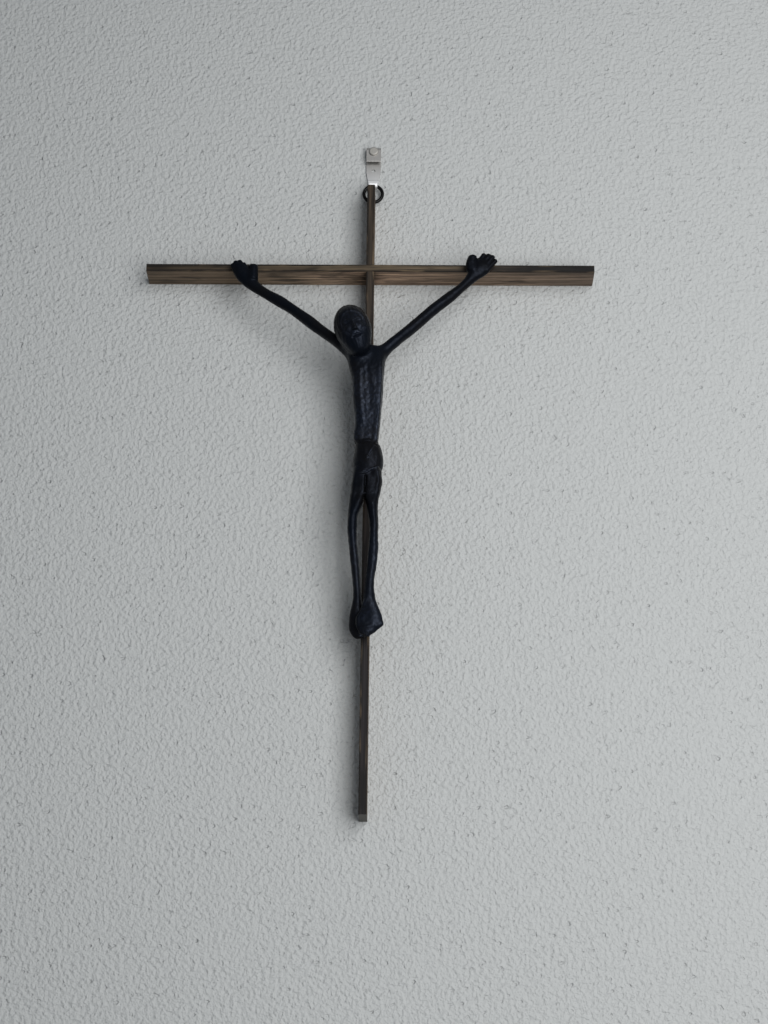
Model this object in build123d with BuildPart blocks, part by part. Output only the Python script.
from build123d import *
from math import sqrt
import os

os.makedirs("parts", exist_ok=True)

# Frame, in millimetres: the origin lies on the wall plane behind the crossing's middle,
# +X is the viewer's right, +Y goes into the wall and +Z is up.

# Cross: two slats of one stock, set on edge and halved into each other
slat_width = 5.0
slat_depth = 20.0
upright_length = 420.0
crossbar_length = 290.0
crossing_drop = 61.0
lap_gap = 0.05
arris = 0.35

# Hanger ring of round wire, hung a little right of the upright's middle
ring_outside = 14.5
wire_diameter = 2.3
ring_above_top = 2.0
hanger_shift = 1.0
ring_seat_gap = 0.12
ring_hole_gap = 0.17
butt_gap_angle = 2.5
butt_gap_turn = 150.0

# Wall hook bent from steel strip, with its lug folded over in front
strip_thickness = 1.0
strip_width = 9.6
prong_width = 5.5
prong_inner_radius = 2.5
prong_tip_rise = 1.6
lug_gap = 2.5
lug_height = 10.6
hook_height = 32.1
taper_height = 12.0
nail_below_top = 3.6
spare_hole_below_top = 16.3
spare_hole_diameter = 2.5

# Nail of the hook
nail_diameter = 2.0
nail_neck_diameter = 2.4
nail_hole_gap = 0.1
nail_in_wall = 18.0
nail_point_length = 3.0
nail_head_diameter = 6.2
nail_head_height = 1.3
nail_head_round = 0.9

# Screws from behind that hold the casting by its hands and feet
screw_diameter = 2.0
screw_head_diameter = 3.8
screw_head_inset = 0.4
screw_bite = 5.0
screw_hole_gap = 0.1
tapped_gap = 0.05
tapped_extra = 0.8
drive_slot_width = 0.5
drive_slot_depth = 0.6

# Casting: its height from fingertips to toes, its head, its hem and its screw bosses
figure_height = 260.7
head_width = 22.8
hem_slope = 14.0
boss_diameter = 4.2
boss_length = 5.0

# Derived places
front_y = -slat_depth
top_z = crossing_drop
bottom_z = crossing_drop - upright_length
lap_depth = slat_depth / 2
wire_radius = wire_diameter / 2
ring_radius = ring_outside / 2 - wire_radius
ring_z = top_z + ring_above_top
ring_y = -(strip_thickness + prong_inner_radius)
prong_floor_z = ring_z + sqrt((ring_radius - wire_radius) ** 2 - (prong_width / 2) ** 2) - ring_seat_gap
prong_bottom_z = prong_floor_z - strip_thickness
hook_top_z = prong_bottom_z + hook_height
nail_z = hook_top_z - nail_below_top
spare_hole_z = hook_top_z - spare_hole_below_top
lug_front_y = -(2 * strip_thickness + lug_gap)

# The wire bends inside its straight hole, so the hole takes in the bend as well
far_reach = slat_width / 2 + hanger_shift
far_rise = ring_radius - sqrt(ring_radius**2 - far_reach**2)
far_half_wire = wire_radius * ring_radius / sqrt(ring_radius**2 - far_reach**2)
hole_high = ring_z - ring_radius + far_rise + far_half_wire
hole_low = ring_z - ring_radius - wire_radius
ring_hole_radius = (hole_high - hole_low) / 2 + ring_hole_gap
ring_hole_z = (hole_high + hole_low) / 2

screw_radius = screw_diameter / 2
screw_head_radius = screw_head_diameter / 2
clear_radius = screw_radius + screw_hole_gap
tapped_radius = screw_radius + tapped_gap
screw_tip_y = front_y - screw_bite
# The casting's sections are drawn from the crossing for a height of 260.7 and follow the one set above
figure_grid = figure_height / 260.7
left_screw_x = -84.5 * figure_grid
right_screw_x = 71.0 * figure_grid
foot_screw_z = -243.0 * figure_grid


def spot(x, forward, z):
    """A point of the casting, on its grid: across, forward of the slats, and up."""
    return Vector(x * figure_grid, front_y - forward * figure_grid, z * figure_grid)


def level(x, forward, z):
    """A level plane through a point of the casting."""
    return Plane(origin=spot(x, forward, z), x_dir=(1, 0, 0), z_dir=(0, 0, 1))


def across(start, end, at):
    """A plane at one point of a limb, square to the line from start to end."""
    return Plane(origin=at, x_dir=(0, 1, 0), z_dir=end - start)


def oval(x_radius, y_radius):
    """One section of the casting, on its grid, in the axes of its plane."""
    Ellipse(x_radius * figure_grid, y_radius * figure_grid)


def limb(*stations):
    """A limb lofted through ovals, each given as (x, forward, z, half depth, half width)."""
    middles = [spot(x, forward, z) for x, forward, z, half_depth, half_width in stations]
    with BuildPart() as made:
        for i, (x, forward, z, half_depth, half_width) in enumerate(stations):
            before = middles[max(i - 1, 0)]
            after = middles[min(i + 1, len(middles) - 1)]
            with BuildSketch(across(before, after, middles[i])):
                oval(half_depth, half_width)
        loft()
    return made.part


def digit(root, tip, root_radius, tip_radius):
    """A tapering finger or thumb with a rounded end, lofted along its line."""
    with BuildPart() as made:
        with BuildSketch(across(root, tip, root)):
            oval(root_radius, root_radius)
        with BuildSketch(across(root, tip, (root + tip) / 2)):
            oval((root_radius + tip_radius) / 2, (root_radius + tip_radius) / 2)
        with BuildSketch(across(root, tip, tip)):
            oval(tip_radius, tip_radius)
        loft()
        fillet(made.edges().sort_by_distance(tip)[0], tip_radius * figure_grid * 0.7)
    return made.part


# Upright: the crossbar's half lap is cut in its front
with BuildPart() as upright:
    with BuildSketch(Plane.XY.offset(bottom_z)):
        with Locations((0, -slat_depth / 2)):
            Rectangle(slat_width, slat_depth)
    extrude(amount=upright_length)
    chamfer(upright.edges().filter_by(Axis.Z), arris)
    with BuildSketch(Plane.XZ.offset(slat_depth)):
        Rectangle(2 * slat_width, slat_width + 2 * lap_gap)
    extrude(amount=-lap_depth - lap_gap, mode=Mode.SUBTRACT)
    with Locations(Plane(origin=(slat_width / 2, ring_y, ring_hole_z), z_dir=(1, 0, 0))):
        Hole(ring_hole_radius)
    with Locations(Plane(origin=(0, 0, foot_screw_z), z_dir=(0, 1, 0))):
        CounterSinkHole(clear_radius, screw_head_radius + screw_head_inset + screw_hole_gap, counter_sink_angle=90)
upright.part.label = "upright"
export_step(upright.part, "parts/upright.step")

# Crossbar: its half lap is cut from behind, so it runs through in front
with BuildPart() as crossbar:
    with BuildSketch(Plane.YZ.offset(-crossbar_length / 2)):
        with Locations((-slat_depth / 2, 0)):
            Rectangle(slat_depth, slat_width)
    extrude(amount=crossbar_length)
    chamfer(crossbar.edges().filter_by(Axis.X), arris)
    with BuildSketch(Plane.XZ):
        Rectangle(slat_width + 2 * lap_gap, 2 * slat_width)
    extrude(amount=lap_depth, mode=Mode.SUBTRACT)
    with Locations(
        Plane(origin=(left_screw_x, 0, 0), z_dir=(0, 1, 0)),
        Plane(origin=(right_screw_x, 0, 0), z_dir=(0, 1, 0)),
    ):
        CounterSinkHole(clear_radius, screw_head_radius + screw_head_inset + screw_hole_gap, counter_sink_angle=90)
crossbar.part.label = "crossbar"
export_step(crossbar.part, "parts/crossbar.step")

# Hanger ring: one turn of wire with its ends butted
with BuildPart() as hanger_ring:
    ring_plane = Plane(origin=(hanger_shift, ring_y, ring_z), x_dir=(1, 0, 0), z_dir=(0, 0, 1))
    with BuildSketch(ring_plane.rotated((0, butt_gap_turn, 0))):
        with Locations((ring_radius, 0)):
            Circle(wire_radius)
    revolve(axis=Axis((hanger_shift, ring_y, ring_z), (0, 1, 0)), revolution_arc=360 - butt_gap_angle)
hanger_ring.part.label = "hanger_ring"
export_step(hanger_ring.part, "parts/hanger_ring.step")

# Wall hook: the bent strip seen from the side, trimmed to its outline seen from the front
with BuildPart() as wall_hook:
    fold_radius = (lug_gap + strip_thickness) / 2
    bend_radius = prong_inner_radius + strip_thickness / 2
    back_y = -strip_thickness / 2
    lug_y = lug_front_y + strip_thickness / 2
    fold_z = hook_top_z - strip_thickness / 2 - fold_radius
    bend_z = prong_floor_z + prong_inner_radius
    with BuildSketch(Plane.YZ.offset(hanger_shift - strip_width / 2)):
        with BuildLine() as bent:
            Line((lug_y, hook_top_z - lug_height), (lug_y, fold_z))
            ThreePointArc((lug_y, fold_z), ((lug_y + back_y) / 2, fold_z + fold_radius), (back_y, fold_z))
            Line((back_y, fold_z), (back_y, bend_z))
            tip_y = back_y - 2 * bend_radius
            ThreePointArc((back_y, bend_z), (back_y - bend_radius, bend_z - bend_radius), (tip_y, bend_z))
            Line((tip_y, bend_z), (tip_y, bend_z + prong_tip_rise))
            offset(amount=strip_thickness / 2, side=Side.BOTH, closed=True, mode=Mode.REPLACE)
        make_face()
    extrude(amount=strip_width)
    with BuildSketch(Plane.XZ.offset(-strip_thickness)):
        with BuildLine():
            Polyline(
                (hanger_shift - strip_width / 2, hook_top_z + strip_thickness),
                (hanger_shift + strip_width / 2, hook_top_z + strip_thickness),
                (hanger_shift + strip_width / 2, prong_bottom_z + taper_height + prong_inner_radius),
                (hanger_shift + prong_width / 2, prong_bottom_z + prong_inner_radius),
                (hanger_shift + prong_width / 2, prong_bottom_z - strip_thickness),
                (hanger_shift - prong_width / 2, prong_bottom_z - strip_thickness),
                (hanger_shift - prong_width / 2, prong_bottom_z + prong_inner_radius),
                (hanger_shift - strip_width / 2, prong_bottom_z + taper_height + prong_inner_radius),
                close=True,
            )
        make_face()
    extrude(amount=3 * strip_thickness - tip_y, mode=Mode.INTERSECT)
    with Locations(Plane(origin=(hanger_shift, lug_front_y, nail_z), z_dir=(0, -1, 0))):
        Hole(nail_neck_diameter / 2 + nail_hole_gap)
    with Locations(Plane(origin=(hanger_shift, -strip_thickness, spare_hole_z), z_dir=(0, -1, 0))):
        Hole(spare_hole_diameter / 2)
wall_hook.part.label = "wall_hook"
export_step(wall_hook.part, "parts/wall_hook.step")

# Hook nail: head, neck in the hook and shank in the wall, turned about its own axis
with BuildPart() as hook_nail:
    with BuildSketch(Plane(origin=(hanger_shift, 0, nail_z), x_dir=(1, 0, 0), z_dir=(0, 0, 1))):
        with BuildLine():
            Polyline(
                (0, nail_in_wall + nail_point_length),
                (nail_diameter / 2, nail_in_wall),
                (nail_diameter / 2, 0),
                (nail_neck_diameter / 2, 0),
                (nail_neck_diameter / 2, lug_front_y),
                (nail_head_diameter / 2, lug_front_y),
                (nail_head_diameter / 2, lug_front_y - nail_head_height),
                (0, lug_front_y - nail_head_height),
                close=True,
            )
        make_face()
    revolve(axis=Axis((hanger_shift, 0, nail_z), (0, 1, 0)))
    fillet(hook_nail.edges().sort_by(Axis.Y)[0], nail_head_round)
hook_nail.part.label = "hook_nail"
export_step(hook_nail.part, "parts/hook_nail.step")


def screw(x, z, name):
    """A countersunk slotted screw, driven from the wall side."""
    with BuildPart() as made:
        with BuildSketch(Plane(origin=(x, 0, z), x_dir=(1, 0, 0), z_dir=(0, 0, 1))):
            with BuildLine():
                Polyline(
                    (0, -screw_head_inset),
                    (screw_head_radius, -screw_head_inset),
                    (screw_radius, -screw_head_inset - screw_head_radius + screw_radius),
                    (screw_radius, screw_tip_y),
                    (0, screw_tip_y),
                    close=True,
                )
            make_face()
        revolve(axis=Axis((x, 0, z), (0, 1, 0)))
        with BuildSketch(Plane(origin=(x, -screw_head_inset, z), x_dir=(1, 0, 0), z_dir=(0, 1, 0))):
            Rectangle(screw_head_diameter, drive_slot_width)
        extrude(amount=-drive_slot_depth, mode=Mode.SUBTRACT)
    made.part.label = name
    export_step(made.part, "parts/" + name + ".step")


screw(left_screw_x, 0, "left_hand_screw")
screw(right_screw_x, 0, "right_hand_screw")
screw(0, foot_screw_z, "foot_screw")

# Arms run from inside the trunk through shoulder, elbow and wrist to the palm
left_arm = limb(
    (-5.5, 12.4, -69.6, 4.8, 6.4),
    (-11.0, 12.3, -65.4, 4.7, 5.4),
    (-18.5, 12.0, -59.4, 4.3, 3.7),
    (-25.0, 11.4, -54.1, 4.1, 3.2),
    (-34.0, 10.4, -46.6, 4.0, 3.6),
    (-43.5, 9.3, -38.4, 3.8, 3.4),
    (-54.0, 8.0, -30.4, 3.5, 3.5),
    (-64.0, 6.7, -23.5, 3.2, 3.4),
    (-71.5, 5.7, -18.2, 3.1, 3.5),
    (-77.2, 5.1, -12.6, 3.5, 4.6),
    (-81.6, 4.9, -6.8, 3.8, 5.4),
    (-84.4, 4.7, -2.6, 3.4, 4.8),
    (-86.0, 4.5, 0.0, 2.2, 3.2),
)
right_arm = limb(
    (0.5, 12.4, -72.2, 4.8, 6.4),
    (6.8, 12.3, -67.4, 4.7, 5.6),
    (13.8, 12.0, -60.5, 4.3, 3.9),
    (20.3, 11.4, -54.4, 4.1, 3.5),
    (29.3, 10.4, -45.9, 4.0, 3.6),
    (38.3, 9.3, -36.6, 3.8, 3.6),
    (47.3, 8.0, -28.2, 3.5, 3.6),
    (55.3, 6.8, -20.5, 3.2, 3.2),
    (61.7, 5.9, -14.0, 3.0, 3.0),
    (66.3, 5.2, -8.4, 3.3, 4.1),
    (70.2, 4.9, -3.4, 3.8, 5.7),
    (73.4, 4.7, 0.4, 3.2, 5.8),
    (75.4, 4.5, 2.8, 2.0, 4.4),
)

# The left hand is closed, with the thumb beside the fingers; the right one is open
left_digits = [
    digit(spot(-84.0, 5.6, -9.4), spot(-88.8, 5.4, -0.6), 2.1, 1.4),
    digit(spot(-82.0, 5.9, -8.0), spot(-86.9, 5.7, 1.2), 2.1, 1.5),
    digit(spot(-80.0, 5.9, -6.8), spot(-84.4, 5.7, 2.0), 2.1, 1.5),
    digit(spot(-78.2, 5.6, -5.6), spot(-81.7, 5.4, 0.4), 2.1, 1.4),
    digit(spot(-75.4, 6.0, -12.0), spot(-75.0, 6.2, -0.3), 3.7, 3.0),
]
right_digits = [
    digit(spot(69.4, 5.6, -0.2), spot(73.7, 5.2, 7.8), 2.0, 1.3),
    digit(spot(71.2, 5.8, -1.6), spot(76.7, 5.4, 7.2), 2.0, 1.4),
    digit(spot(73.0, 5.8, -3.0), spot(79.3, 5.4, 6.0), 2.0, 1.4),
    digit(spot(74.6, 5.6, -4.4), spot(81.3, 5.2, 3.2), 2.0, 1.3),
    digit(spot(65.2, 5.9, -5.2), spot(66.7, 6.1, 6.5), 3.4, 2.6),
]

# Legs run from the hip through knee and ankle to the toes; the right foot crosses in front
left_leg = limb(
    (-3.9, 13.0, -146, 6.6, 4.6),
    (-4.9, 13.8, -158, 5.8, 4.7),
    (-7.0, 14.4, -169, 4.7, 3.7),
    (-8.3, 14.4, -181, 3.9, 3.1),
    (-7.9, 12.8, -193, 3.5, 2.8),
    (-6.6, 10.2, -205, 3.2, 2.6),
    (-5.4, 7.4, -217, 3.0, 2.5),
    (-4.9, 5.6, -227, 2.9, 2.8),
    (-4.9, 4.9, -235.5, 3.3, 4.3),
    (-4.3, 4.6, -243.5, 3.5, 5.7),
    (-2.7, 4.2, -251.6, 2.1, 2.9),
)
right_leg = limb(
    (4.5, 13.0, -146, 6.6, 4.5),
    (3.8, 14.2, -158, 5.7, 4.9),
    (3.5, 15.2, -169, 4.7, 3.8),
    (4.8, 15.6, -181, 3.9, 2.8),
    (4.9, 14.6, -193, 3.5, 2.9),
    (4.3, 13.0, -205, 3.3, 3.1),
    (2.8, 11.6, -217, 3.1, 2.8),
    (2.4, 10.7, -227, 3.0, 3.5),
    (3.1, 10.4, -235.5, 3.4, 5.7),
    (2.8, 10.0, -241.5, 3.7, 8.2),
    (0.7, 9.6, -248, 3.0, 5.9),
    (-0.4, 9.3, -251.5, 1.9, 3.4),
)

# Trunk: broad flat front that narrows to the waist, as (x, forward, z, width, depth)
trunk_stations = [
    (-1.4, 12.5, -62.0, 17.0, 10.0),
    (-1.2, 12.5, -67.5, 24.4, 12.5),
    (-0.9, 12.5, -74.5, 23.0, 14.0),
    (-0.3, 12.5, -83.5, 20.1, 14.0),
    (-0.1, 12.3, -94, 19.0, 13.4),
    (0.1, 12.0, -105, 17.2, 12.5),
    (0.0, 11.7, -116, 15.8, 11.4),
    (-0.3, 11.5, -127.5, 13.3, 10.5),
]

# Head, bowed onto the chest and leaning left: shares of its height, half depth, share of its width
chin = spot(-4.0, 21.5, -71.6)
crown = spot(-14.4, 21, -38.8)
head_line = crown - chin
head_stations = [
    (0.0, 3.6, 0.14),
    (0.17, 8.6, 0.34),
    (0.35, 11.2, 0.45),
    (0.53, 12.2, 0.5),
    (0.71, 11.6, 0.48),
    (0.87, 9.0, 0.38),
    (1.0, 3.8, 0.16),
]

# Corpus: one casting of head, trunk, cloth, limbs, hands and feet
with BuildPart() as corpus:
    for rise, half_depth, share in head_stations:
        with BuildSketch(across(chin, crown, chin + head_line * rise)):
            Ellipse(half_depth * figure_grid, head_width * share)
    loft()
    nose_bridge = chin + head_line * 0.57 + Vector(0, -10.7 * figure_grid, 0)
    nose_tip = chin + head_line * 0.37 + Vector(0, -11.6 * figure_grid, 0)
    with BuildSketch(across(nose_bridge, nose_tip, nose_bridge)):
        oval(1.4, 0.9)
    with BuildSketch(across(nose_bridge, nose_tip, nose_tip)):
        oval(2.2, 1.9)
    loft()
    # Neck, from between the shoulders into the back of the head
    with BuildSketch(level(-2.4, 13, -69.5)):
        oval(6.5, 5.2)
    with BuildSketch(level(-4.8, 15.5, -61.5)):
        oval(5.4, 5.0)
    with BuildSketch(level(-7.6, 18, -53.5)):
        oval(5.4, 5.2)
    loft()
    for x, forward, z, width, depth in trunk_stations:
        with BuildSketch(level(x, forward, z)):
            RectangleRounded(width * figure_grid, depth * figure_grid, 0.35 * depth * figure_grid)
    loft()
    # Loincloth over the hips, with one raised fold
    with BuildSketch(level(0.0, 11.6, -126.5)):
        oval(6.7, 5.8)
    with BuildSketch(level(0.6, 12.2, -132)):
        oval(8.3, 7.4)
    with BuildSketch(level(0.7, 12.6, -140)):
        oval(9.2, 8.0)
    with BuildSketch(level(0.3, 13.0, -148.4).rotated((0, -hem_slope, 0))):
        oval(9.2, 7.9)
    loft()
    # The fork, where the thighs lie together below the cloth
    with BuildSketch(level(0.0, 13.2, -145)):
        oval(5.6, 6.2)
    with BuildSketch(level(-0.5, 13.7, -154)):
        oval(4.2, 5.6)
    with BuildSketch(level(-1.2, 14.2, -163)):
        oval(2.2, 4.4)
    loft()
    fold_top = spot(4.6, 17.6, -131.5)
    fold_end = spot(-0.2, 20.2, -140)
    with BuildSketch(across(fold_top, fold_end, fold_top)):
        oval(1.5, 1.6)
    with BuildSketch(across(fold_top, fold_end, fold_end)):
        oval(0.7, 0.8)
    loft()
    add([left_leg, right_leg, left_arm, right_arm])
    add(left_digits)
    add(right_digits)
    # Flat-ended bosses that sit on the slats, tapped for the screws
    boss_places = [(left_screw_x, 0), (right_screw_x, 0), (0, foot_screw_z)]
    with BuildSketch(Plane.XZ.offset(slat_depth)):
        with Locations(*boss_places):
            Circle(boss_diameter / 2)
    extrude(amount=boss_length)
    with BuildSketch(Plane.XZ.offset(slat_depth)):
        with Locations(*boss_places):
            Circle(tapped_radius)
    extrude(amount=screw_bite + tapped_extra, mode=Mode.SUBTRACT)
corpus.part.label = "corpus"
export_step(corpus.part, "parts/corpus.step")
